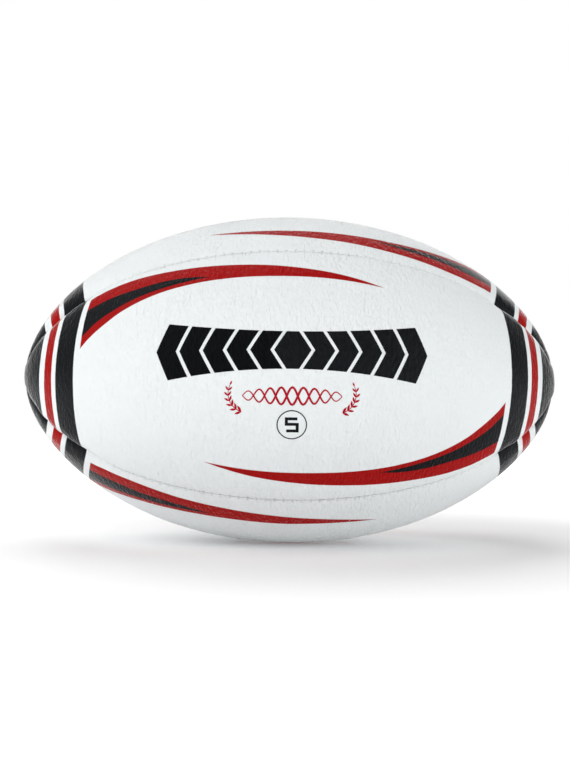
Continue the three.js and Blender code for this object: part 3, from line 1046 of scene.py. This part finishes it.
def patch_fabric():
    """Rubberised fabric with a coarse weave."""
    finish = Finish("patch_fabric")
    x, y, z = finish.coordinates()
    turns = 2 * math.pi / PATCH_PITCH
    weave = ((x * turns).sine() * (z * turns).sine() + 1) * 0.5
    blotch = finish.noise(finish.vector(x, y, z), 6, detail=3)
    base = finish.mix(weave * 0.5 + blotch * 0.5, (0.16, 0.15, 0.13), (0.34, 0.31, 0.27))
    return finish.wear(Base_Color=base, Roughness=0.85, Normal=finish.bump(weave, 0.1))


# ---- the printed ornament ----

FILM = 0.05 * MM  # how proud the ornament's ink stands
ORNAMENT_SHIFT = -1.5 * MM  # along the ball
SMALL_PRINT_SHIFT = (2 * MM, 20 * MM)  # along and across, on the top and the bottom panel


def print_film(name, case, panel, shape, finish, shift):
    """Lays flat marks on a panel as a thin film of ink. Their x runs along the ball, in metres."""
    bmesh.ops.solidify(shape, geom=shape.faces[:], thickness=2 * FILM)
    low = min(v.co.z for v in shape.verts)
    for vertex in shape.verts:
        lift = FILM * (1 if vertex.co.z > low + FILM else -1)
        x, across = vertex.co.x + shift[0], vertex.co.y + shift[1]
        ring = case.ring_at(x)
        angle = across / ring.radius
        vertex.co = case.place(panel, ring, angle, -lift, True)
    return finished(name, shape, finish)


def patch_of(shape, along, across, place):
    """Adds a grid to flat marks. A function of (-1 to 1, -1 to 1) says where its vertices go."""
    made = bmesh.ops.create_grid(shape, x_segments=along, y_segments=across, size=1)["verts"]
    for vertex in made:
        vertex.co = Vector((*place(vertex.co.x, vertex.co.y), 0))


def ribbon(shape, points, width, closed=False):
    """Adds a stroke along points to flat marks. width is a function of the share of the way along."""
    count = len(points)
    for index in range(count if closed else count - 1):
        ends = [index, (index + 1) % count]

        def place(u, v):
            at = ends[0] if u < 0 else ends[1]
            share = (index + (u > 0)) / (count - 1)
            offset = corner_offset(points, at, closed)
            return points[at] + offset * (width(share) * v / 2)

        patch_of(shape, 1, 1, place)
    bmesh.ops.remove_doubles(shape, verts=shape.verts[:], dist=0.001 * MM)


def corner_offset(points, index, closed):
    """Sideways direction at a point of a stroke, long enough to keep its width round a corner."""
    last = len(points) - 1
    here, before, after = points[index], points[index - 1], points[(index + 1) % len(points)]
    if not closed and index == 0:
        before = here * 2 - after
    if not closed and index == last:
        after = here * 2 - before
    inward, onward = (here - before).normalized(), (after - here).normalized()
    tangent = (inward + onward).normalized()
    side = Vector((-tangent.y, tangent.x))
    return side / max(0.5, side.dot(Vector((-onward.y, onward.x))))


CHEVRONS = 5  # on each side of the lozenge
CHEVRON_WIDTH = 9.7 * MM
CHEVRON_PITCH = 11.5 * MM
CHEVRON_TIP = 6 * MM
LOZENGE = 3 * MM
CHEVRON_MIDDLE = 11.1 * MM  # above the middle of the panel
BAND_DROP = 1.4 * MM  # how much lower its ends are
BAND_HALF = (9.2 * MM, 5.6 * MM)  # half the band's height in its middle, and what its ends add
BAND_END = 65 * MM


def chevron_band():
    """A bold band of chevrons that point outward from a lozenge, taller towards its ends."""
    shape = bmesh.new()

    def block(low, high, side):
        def place(u, v):
            x = low + (high - low) * (u + 1) / 2 + CHEVRON_TIP * (1 - abs(v)) * (1 if side else u)
            outward = (x / BAND_END) ** 2
            half = BAND_HALF[0] + BAND_HALF[1] * outward
            return (side or 1) * x, CHEVRON_MIDDLE - BAND_DROP * outward + half * v

        patch_of(shape, 8, 26, place)

    block(-LOZENGE, LOZENGE, 0)
    for side in (-1, 1):
        for number in range(CHEVRONS):
            low = LOZENGE + CHEVRON_PITCH - CHEVRON_WIDTH + number * CHEVRON_PITCH
            block(low, low + CHEVRON_WIDTH, side)
    return shape


TWIST_HALF = 24 * MM
TWIST_WAVE = 10.67 * MM
TWIST_SWING = 4.2 * MM
TWIST_MIDDLE = -11.2 * MM
SPRIG_LEAVES = 6  # pairs
SPRIG_MIDDLE = Vector((21.5 * MM, -10.2 * MM))  # centre of the stem's bow
SPRIG_BOW = 9.4 * MM
SPRIG_START, SPRIG_END = math.radians(-72), math.radians(24)
SPRIG_LEAN = math.radians(38)
SPRIG_LEAF = 3.6 * MM


def twist_and_sprigs():
    """Two strands that twist round each other, with a sprig of plain leaves at each end."""
    shape = bmesh.new()
    steps = 96
    for strand in (-1, 1):
        points = []
        for step in range(steps + 1):
            x = TWIST_HALF * (2 * step / steps - 1)
            swing = TWIST_SWING * (1 - 0.6 * (x / TWIST_HALF) ** 2)
            y = TWIST_MIDDLE + strand * swing * math.sin(2 * math.pi * x / TWIST_WAVE + math.pi / 2)
            points.append(Vector((x, y)))
        ribbon(shape, points, lambda share: (0.45 + 0.65 * math.sin(math.pi * share)) * MM)
    for side in (-1, 1):
        sprig(shape, side)
    return shape


def sprig(shape, side):
    """A bowed stem with pairs of plain leaves and one at its tip."""

    def at(share):
        angle = SPRIG_START + (SPRIG_END - SPRIG_START) * share
        place = SPRIG_MIDDLE + SPRIG_BOW * Vector((math.cos(angle), math.sin(angle)))
        return Vector((side * place.x, place.y))

    ribbon(shape, [at(step / 12) for step in range(13)], lambda share: (0.5 - 0.2 * share) * MM)
    for number in range(SPRIG_LEAVES + 1):
        share = number / SPRIG_LEAVES
        onward = (at(share + 0.01) - at(share)).normalized()
        for lean in (0,) if number == SPRIG_LEAVES else (-SPRIG_LEAN, SPRIG_LEAN):
            turned = Vector((
                onward.x * math.cos(lean) - onward.y * math.sin(lean),
                onward.x * math.sin(lean) + onward.y * math.cos(lean),
            ))
            leaf(shape, at(share), turned, SPRIG_LEAF * (1 - 0.3 * share))


def leaf(shape, foot, onward, size):
    """A pointed leaf, three times as long as it is wide."""
    sideways = Vector((-onward.y, onward.x))

    def place(u, v):
        share = (u + 1) / 2
        bulge = math.sin(math.pi * share) * size / 6
        return foot + onward * size * share + sideways * (bulge * v)

    patch_of(shape, 8, 2, place)


RING_MIDDLE = -25.4 * MM
RING_RADIUS = 7.1 * MM
RING_STROKE = 0.55 * MM
DIGIT_HALF = (2.65 * MM, 3.05 * MM)
DIGIT_STROKE = 1.45 * MM


def size_mark():
    """The size number in its ring."""
    shape = bmesh.new()
    turns = 96
    centre = Vector((0, RING_MIDDLE))
    circle = [
        centre + RING_RADIUS * Vector((math.cos(2 * math.pi * i / turns), math.sin(2 * math.pi * i / turns)))
        for i in range(turns)
    ]
    ribbon(shape, circle, lambda share: RING_STROKE, closed=True)
    wide, tall = DIGIT_HALF
    waist = 0.1 * tall
    corners = [(wide, tall), (-wide, tall), (-wide, waist), (wide, waist), (wide, -tall), (-wide, -tall)]
    digit = []
    for (x0, y0), (x1, y1) in zip(corners, corners[1:]):
        digit += [centre + Vector((x0, y0)).lerp(Vector((x1, y1)), share / 4) for share in range(4)]
    digit.append(centre + Vector(corners[-1]))
    ribbon(shape, digit, lambda share: DIGIT_STROKE)
    return shape


# ---- operators ----


MISPRINT = {"back": 0.3 * MM, "top": -1.0 * MM, "front": 0, "bottom": 0.5 * MM}  # along the ball
ROOM_FOR_VALVE = (7 * MM, -3 * MM)  # how far the back panel's ornament is moved apart


class BALL_OT_cover(bpy.types.Operator):
    """Make the four printed cover panels"""

    bl_idname = "ball.cover"
    bl_label = "Cover Panels"

    def execute(self, context):
        case = Case(context.scene)
        finishes = [printed_cover(context.scene), cover_back()]
        for name, panel in PANELS.items():
            cover_panel(case, name, panel, finishes, MISPRINT[name])
        return {"FINISHED"}


class BALL_OT_ornament(bpy.types.Operator):
    """Print the chevrons, the twist and the size mark on the panels"""

    bl_idname = "ball.ornament"
    bl_label = "Printed Ornament"

    def execute(self, context):
        case = Case(context.scene)
        design = context.scene.ball_print
        black, crimson = ink("black_ink", design.black), ink("crimson_ink", design.crimson)
        for name, (up, down) in {"front": (0, 0), "back": ROOM_FOR_VALVE}.items():
            panel = PANELS[name]
            print_film(name + "_chevrons", case, panel, chevron_band(), black, (ORNAMENT_SHIFT, up))
            print_film(name + "_twist", case, panel, twist_and_sprigs(), crimson, (ORNAMENT_SHIFT, down))
            print_film(name + "_size_mark", case, panel, size_mark(), black, (ORNAMENT_SHIFT, down))
        for name in ("top", "bottom"):
            print_film(name + "_twist", case, PANELS[name], twist_and_sprigs(), crimson, SMALL_PRINT_SHIFT)
        return {"FINISHED"}


THREAD_REACH = 0.97  # the thread stops this share of the way to the tips
THREAD_SEAT = (0.15 * MM, 0.9 * MM)  # how deep it sits in the groove, and what the ends add


class BALL_OT_stitches(bpy.types.Operator):
    """Sew the four seams"""

    bl_idname = "ball.stitches"
    bl_label = "Seam Stitches"

    steps = 10  # to each stitch

    def execute(self, context):
        case, stitching = Case(context.scene), context.scene.ball_stitching
        finish = waxed_thread()
        count = int(case.run_at(case.plain_angle * THREAD_REACH) / stitching.pitch)
        for name, seam in SEAMS.items():
            line = bpy.data.curves.new(name + "_line", "CURVE")
            line.dimensions, line.bevel_depth, line.bevel_resolution = "3D", stitching.thread / 2, 2
            spline = line.splines.new("POLY")
            reach = count * self.steps
            runs = [stitching.pitch * step / self.steps for step in range(-reach, reach + 1)]
            spline.points.add(len(runs) - 1)
            for point, run in zip(spline.points, runs):
                point.co = (*self.thread_point(case, seam, run), 1)
            line.use_fill_caps = True
            self.make_piece(name, line, finish)
        return {"FINISHED"}

    def thread_point(self, case, seam, run):
        """The middle of the thread: it lies in the groove and drops through the hole of each stitch."""
        stitching = case.stitching
        angle = case.angle_at_run(run)
        ring = case.make_ring(angle)
        width, drop = case.rounding(ring, case.cover_outside())
        part = (stitching.thread / 2 - case.cover.seam_gap / 2) / width
        seat = drop * (1 - math.sqrt(1 - (1 - part) ** 2)) + THREAD_SEAT[0] + THREAD_SEAT[1] * ring.end
        near = (0.5 + 0.5 * math.cos(2 * math.pi * run / stitching.pitch)) ** 2
        depth = (seat + stitching.dive * near) * ring.narrow
        return case.point(seam, ring, 0, depth + case.sag(ring, HALF_TURN))

    def make_piece(self, name, line, finish):
        holder = bpy.data.objects.new(name + "_line", line)
        bpy.context.scene.collection.objects.link(holder)
        bpy.context.view_layer.update()
        shape = bmesh.new()
        tube = holder.to_mesh()
        shape.from_mesh(tube)
        holder.to_mesh_clear()
        bpy.data.objects.remove(holder)
        bpy.data.curves.remove(line)
        bmesh.ops.remove_doubles(shape, verts=shape.verts[:], dist=0.01 * MM)
        finished(name + "_stitches", shape, finish, [name + "_seam_thread"])


class BALL_OT_linings(bpy.types.Operator):
    """Make the two fabric plies inside each cover panel"""

    bl_idname = "ball.linings"
    bl_label = "Fabric Plies"

    def execute(self, context):
        case, finish = Case(context.scene), lining_weave()
        for name, panel in PANELS.items():
            for number in (0, 1):
                ply(case, name, panel, number, finish)
        return {"FINISHED"}


BLADDER_SHOULDER = 1.2 * MM  # how much wider its dip's rounding is than a panel's
SKIN_AROUND, SKIN_ALONG = 192, 96
SKIN_END = 0.995  # its last ring is this share of the way to the tip
TIP_POWER = 8


def skin_depth(case, offset, ring, place):
    """How deep a skin lies at an angle round the ball, and that angle from the middle of a panel.

    It is dipped under the seams.
    """
    turns = place / (2 * HALF_TURN)
    from_middle = abs(turns - round(turns)) * 2 * HALF_TURN
    away = ring.radius * math.sin(max(0, HALF_TURN - from_middle))
    cover = case.cover
    wall = cover.wall + offset
    dip = cover.allowance + cover.layer_gap + offset - case.ply_offset(2)
    face = (cover.seam_gap / 2 + wall) * ring.narrow
    width = (cover.inside_turn + BLADDER_SHOULDER) * ring.narrow
    return wall + (dip - wall) * (1 - ease(away, face, face + width)), from_middle


def skin(case, offset, ease_tips):
    """The outside of a whole skin of the ball, this far inside the cover, closed at both tips."""
    shape = bmesh.new()
    bmesh.ops.create_uvsphere(shape, u_segments=SKIN_AROUND, v_segments=SKIN_ALONG, radius=1)
    for vertex in shape.verts:
        latitude = math.asin(max(-1, min(1, vertex.co.z)))
        place = math.atan2(vertex.co.y, vertex.co.x)
        ring = case.ring_at_angle(latitude * SKIN_END)
        depth, angle = skin_depth(case, offset, ring, place)
        depth += ease_tips * (1 - ring.radius / case.crown_radius) ** TIP_POWER
        sunk = depth + case.sag(ring, angle)
        r = max(0, ring.radius - sunk * ring.normal.y) if abs(latitude) < math.pi / 2 - 1e-4 else 0
        vertex.co = (ring.x - sunk * ring.normal.x, r * math.cos(place), r * math.sin(place))
    return shape


class BALL_OT_bladder(bpy.types.Operator):
    """Make the bladder and the two patches"""

    bl_idname = "ball.bladder"
    bl_label = "Bladder and Patches"

    def execute(self, context):
        case, bladder = Case(context.scene), context.scene.ball_bladder
        offset, wall = case.ply_offset(2), bladder.wall
        black = rubber("bladder_rubber", (0.012, 0.012, 0.013), (0.16, 0.16, 0.16), 0.5, 0.5)
        piece = finished("bladder_skin", skin(case, offset, bladder.tip_ease), black, ["bladder"])
        inner = finished("bladder_inside", skin(case, offset + wall, bladder.tip_ease), [])
        cut(piece, inner)
        cut(piece, hole_cutter(case, case.valve_hole))
        fabric = patch_fabric()
        seat, disc = offset + wall + case.cover.layer_gap, (bladder.patch / 2, bladder.patch_wall)
        self.patch(case, "balance_disc", "balance_patch", "front", seat, disc, fabric)
        seat, disc = case.ply_offset(1), (bladder.valve_patch / 2, case.cover.ply_wall)
        round_valve = self.patch(case, "valve_reinforcement", "valve_patch", "back", seat, disc, fabric)
        cut(round_valve, hole_cutter(case, case.valve_hole))
        return {"FINISHED"}

    def patch(self, case, name, node, side, seat, disc, finish):
        """A round patch of a radius and a wall, which follows the curve of the layer it is glued to."""
        radius, wall = disc
        shape = bmesh.new()
        bmesh.ops.create_circle(shape, cap_ends=True, cap_tris=True, segments=64, radius=radius)
        for _ in range(2):
            bmesh.ops.subdivide_edges(shape, edges=shape.edges[:], cuts=2, use_grid_fill=True)
        bmesh.ops.solidify(shape, geom=shape.faces[:], thickness=wall)
        low = min(v.co.z for v in shape.verts)
        for vertex in shape.verts:
            ring = case.ring_at(vertex.co.x)
            depth = case.cover.wall + seat + (0 if vertex.co.z > low + wall / 2 else wall)
            vertex.co = case.point(PANELS[side], ring, vertex.co.y / ring.radius, depth)
        return finished(name, shape, finish, [node])


RIM = 0.35 * MM  # rounding of the valve's edges
RIM_CUT = 0.3 * RIM  # what that takes off in the middle of it
TAIL_SHARES = (0.55, 0.8, 0.86)  # of the boss: the tail's end, its shoulder and its root
TAIL_END = 1.2 * MM  # length of the tapered end
TAIL_ROOT = 1.6 * MM  # and of the root under the flange
UNDER_FILLET = (0.8 * MM, 0.5 * MM)  # out and along, where the tail meets the flange
OVER_FILLET = (0.6 * MM, 0.4 * MM)  # and where the boss does
FLANGE_SINK = 0.1 * MM  # below the bladder's inside
FLANGE_BEND = 0.6  # of its radius, where its curved face has another corner
SLIT = 0.22 * MM  # half the way left for the needle
DIMPLE_FOOT = (0.2 * MM, 0.8)  # out from the slit, and as a share of the dimple's depth


class BALL_OT_valve(bpy.types.Operator):
    """Make the valve housing and its insert"""

    bl_idname = "ball.valve"
    bl_label = "Needle Valve"

    def execute(self, context):
        case, valve = Case(context.scene), context.scene.ball_valve
        gap, bladder_wall = case.cover.layer_gap, context.scene.ball_bladder.wall
        seat = case.crown_radius - case.cover.wall - case.ply_offset(2) - bladder_wall - gap
        top = case.crown_radius - valve.recess
        tail = seat - valve.flange_wall - valve.tail
        bore_floor = tail + valve.floor_wall
        housing = self.housing(valve, case.crown_radius, tail, bore_floor, seat, top)
        black = rubber("valve_rubber", (0.010, 0.010, 0.011), (0.10, 0.10, 0.10), 0.5, 0.35)
        self.turned("valve_body", housing, black, "valve", ["valve_housing"])
        plug = self.plug(valve, bore_floor + valve.clearance, top - valve.insert_recess)
        grey = rubber("insert_rubber", (0.030, 0.030, 0.032), (0.13, 0.13, 0.13), 0.55, 0.4)
        self.turned("valve_plug", plug, grey, "valve_insert", ["valve_insert"])
        return {"FINISHED"}

    def rounded(self, radius, height, side):
        """Three corners that round a top edge. side is 1 where the flat top lies outside it, else -1."""
        middle = (radius + side * RIM_CUT, height - RIM_CUT)
        return [(radius, height - RIM), middle, (radius + side * RIM, height)]

    def housing(self, valve, ball_radius, tail, bore_floor, seat, top):
        """Outline of the housing, from the foot of its vent up its outside and down its bore."""
        vent, boss, bore = valve.vent / 2, valve.boss / 2, valve.insert / 2 + valve.clearance
        flange, foot = valve.flange / 2, seat - valve.flange_wall
        droop = flange**2 / ball_radius / 2 + FLANGE_SINK  # the flange follows the bladder
        end, shoulder, root = (boss * share for share in TAIL_SHARES)
        return [
            (vent, tail), (end, tail), (shoulder, tail + TAIL_END), (root, foot - TAIL_ROOT),
            (boss, foot - UNDER_FILLET[1]), (boss + UNDER_FILLET[0], foot),
            (flange - 2 * RIM, foot - droop / 3), (flange, foot + RIM - droop / 3),
            (flange, seat - droop - RIM), (flange - RIM, seat - droop),
            (flange * FLANGE_BEND, seat - droop * FLANGE_BEND**2),
            (boss + OVER_FILLET[0], seat - FLANGE_SINK), (boss, seat + OVER_FILLET[1]),
            *self.rounded(boss, top, -1), *reversed(self.rounded(bore, top, 1)),
            (bore, bore_floor), (vent, bore_floor),
        ]

    def plug(self, valve, floor, top):
        """Outline of the insert, from the foot of its slit up its outside and down its dimple."""
        plug, dimple, depth = valve.insert / 2, valve.needle_dimple / 2, valve.needle_depth
        return [
            (SLIT, floor), (plug - RIM, floor), (plug, floor + RIM), *self.rounded(plug, top, -1),
            (dimple + RIM, top), (dimple, top - 0.4 * RIM),
            (SLIT + DIMPLE_FOOT[0], top - depth * DIMPLE_FOOT[1]), (SLIT, top - depth),
        ]

    def turned(self, name, corners, finish, slot, replaces):
        """Turns a closed outline of (radius, height) round +Y."""
        shape = bmesh.new()
        ring = [shape.verts.new((radius, height, 0)) for radius, height in corners]
        edges = [shape.edges.new((a, b)) for a, b in zip(ring, ring[1:] + ring[:1])]
        bmesh.ops.spin(
            shape, geom=[*ring, *edges], cent=(0, 0, 0), axis=(0, 1, 0), angle=2 * math.pi, steps=72,
            use_merge=True,
        )
        bmesh.ops.remove_doubles(shape, verts=shape.verts[:], dist=0.001 * MM)
        return finished(name, shape, finish, replaces)


LAMPS = {  # where each stands and how wide it is, in metres
    "key": ((-1.1, -0.9, 1.05), 1.8),
    "fill": ((1.5, -0.9, 0.3), 1.0),
    "top": ((-0.3, 0.5, 1.6), 1.4),
}
FLOOR_HALF = 6.0
CLOUD_SIZE = 180  # millimetres
GLOW_START, GLOW_SPAN = 130, 420  # millimetres from below the ball's middle
FAR_GLOW = 0.85  # the floor's own light from there on
BACKDROP_EDGE = {"From Min": 0.2, "From Max": 0.85}  # from which direction on it is dim, and bright


class BALL_OT_stage(bpy.types.Operator):
    """Set the floor, the lights and the camera"""

    bl_idname = "ball.stage"
    bl_label = "Floor, Lights and Camera"

    def execute(self, context):
        scene, look = context.scene, context.scene.ball_stage
        scene.view_settings.view_transform = "Standard"
        self.floor(-scene.ball_shape.diameter / 2, look.floor_glow)
        self.surroundings(look.room_light, look.backdrop_light)
        for name, (place, size) in LAMPS.items():
            self.lamp(name + "_light", place, size, getattr(look, name + "_power"))
        self.camera(scene, look)
        return {"FINISHED"}

    def floor(self, height, glow):
        """A pale floor that runs out into the surroundings."""
        shape = bmesh.new()
        bmesh.ops.create_grid(shape, x_segments=1, y_segments=1, size=FLOOR_HALF)
        for vertex in shape.verts:
            vertex.co.z = height
        mesh = bpy.data.meshes.new("floor")
        shape.to_mesh(mesh)
        shape.free()
        finish = Finish("pale_floor")
        x, y, z = finish.coordinates()
        cloud = finish.noise(finish.vector(x, y, z), CLOUD_SIZE, detail=3)
        away = (x * x + y * y) ** 0.5
        faded = ((away - GLOW_START) / GLOW_SPAN).math("ADD", 0, clamp=True)
        light = finish.mix(faded, [glow] * 3, [FAR_GLOW] * 3)
        pale = finish.mix(cloud, (0.93, 0.93, 0.93), (0.96, 0.96, 0.96))
        mesh.materials.append(
            finish.wear(Base_Color=pale, Roughness=0.9, Emission_Color=light, Emission_Strength=1)
        )
        floor = bpy.data.objects.new("floor", mesh)
        bpy.context.scene.collection.objects.link(floor)

    def surroundings(self, room, backdrop):
        """A dim room with a bright backdrop behind the ball."""
        world = bpy.data.worlds.new("studio")
        world.use_nodes = True
        nodes, links = world.node_tree.nodes, world.node_tree.links
        direction = nodes.new("ShaderNodeTexCoord").outputs["Generated"]
        parts = nodes.new("ShaderNodeSeparateXYZ")
        links.new(direction, parts.inputs[0])
        spread = nodes.new("ShaderNodeMapRange")
        spread.interpolation_type = "SMOOTHSTEP"
        for key, value in {**BACKDROP_EDGE, "To Min": room, "To Max": backdrop}.items():
            spread.inputs[key].default_value = value
        links.new(parts.outputs["Y"], spread.inputs["Value"])
        seen = nodes.new("ShaderNodeMapRange")  # the backdrop is as bright from every side
        links.new(nodes.new("ShaderNodeLightPath").outputs["Is Camera Ray"], seen.inputs["Value"])
        links.new(spread.outputs["Result"], seen.inputs["To Min"])
        seen.inputs["To Max"].default_value = backdrop
        background = nodes["Background"]
        background.inputs["Color"].default_value = (1, 1, 1, 1)
        links.new(seen.outputs["Result"], background.inputs["Strength"])
        bpy.context.scene.world = world

    def lamp(self, name, place, size, power):
        data = bpy.data.lights.new(name, "AREA")
        data.shape, data.size, data.energy = "DISK", size, power
        lamp = bpy.data.objects.new(name, data)
        lamp.location = place
        lamp.rotation_mode = "QUATERNION"
        lamp.rotation_quaternion = (-Vector(place)).to_track_quat("-Z", "Y")
        bpy.context.scene.collection.objects.link(lamp)

    def camera(self, scene, look):
        data = bpy.data.cameras.new("camera")
        data.lens, data.shift_x = look.camera_lens, look.sideways_shift
        camera = bpy.data.objects.new("camera", data)
        camera.location = look.camera_at
        camera.rotation_mode = "QUATERNION"
        aim = (-Vector(look.camera_at)).to_track_quat("-Z", "Y")
        camera.rotation_quaternion = aim @ Quaternion((0, 0, 1), look.camera_roll)
        scene.collection.objects.link(camera)
        scene.camera = camera


class BALL_PT_panel(bpy.types.Panel):
    """The ball's pieces and sizes"""

    bl_idname = "BALL_PT_panel"
    bl_label = "Rugby Ball"
    bl_space_type = "VIEW_3D"
    bl_region_type = "UI"
    bl_category = "Rugby Ball"

    def draw(self, context):
        layout = self.layout
        for operator in OPERATORS:
            layout.operator(operator.bl_idname)
        for name, group in SETTINGS.items():
            box = layout.box()
            box.label(text=group.__doc__)
            for key in group.__annotations__:
                box.prop(getattr(context.scene, name), key)


OPERATORS = (
    BALL_OT_cover,
    BALL_OT_ornament,
    BALL_OT_stitches,
    BALL_OT_linings,
    BALL_OT_bladder,
    BALL_OT_valve,
    BALL_OT_stage,
)
CLASSES = (*SETTINGS.values(), *OPERATORS, BALL_PT_panel)


def register():
    for made in CLASSES:
        bpy.utils.register_class(made)
    for name, group in SETTINGS.items():
        setattr(bpy.types.Scene, name, PointerProperty(type=group))


def unregister():
    for name in SETTINGS:
        delattr(bpy.types.Scene, name)
    for made in reversed(CLASSES):
        bpy.utils.unregister_class(made)


def main():
    register()
    bpy.ops.ball.stage()
    bpy.ops.ball.cover()
    bpy.ops.ball.ornament()
    bpy.ops.ball.stitches()
    bpy.ops.ball.linings()
    bpy.ops.ball.bladder()
    bpy.ops.ball.valve()


if __name__ == "__main__":
    main()
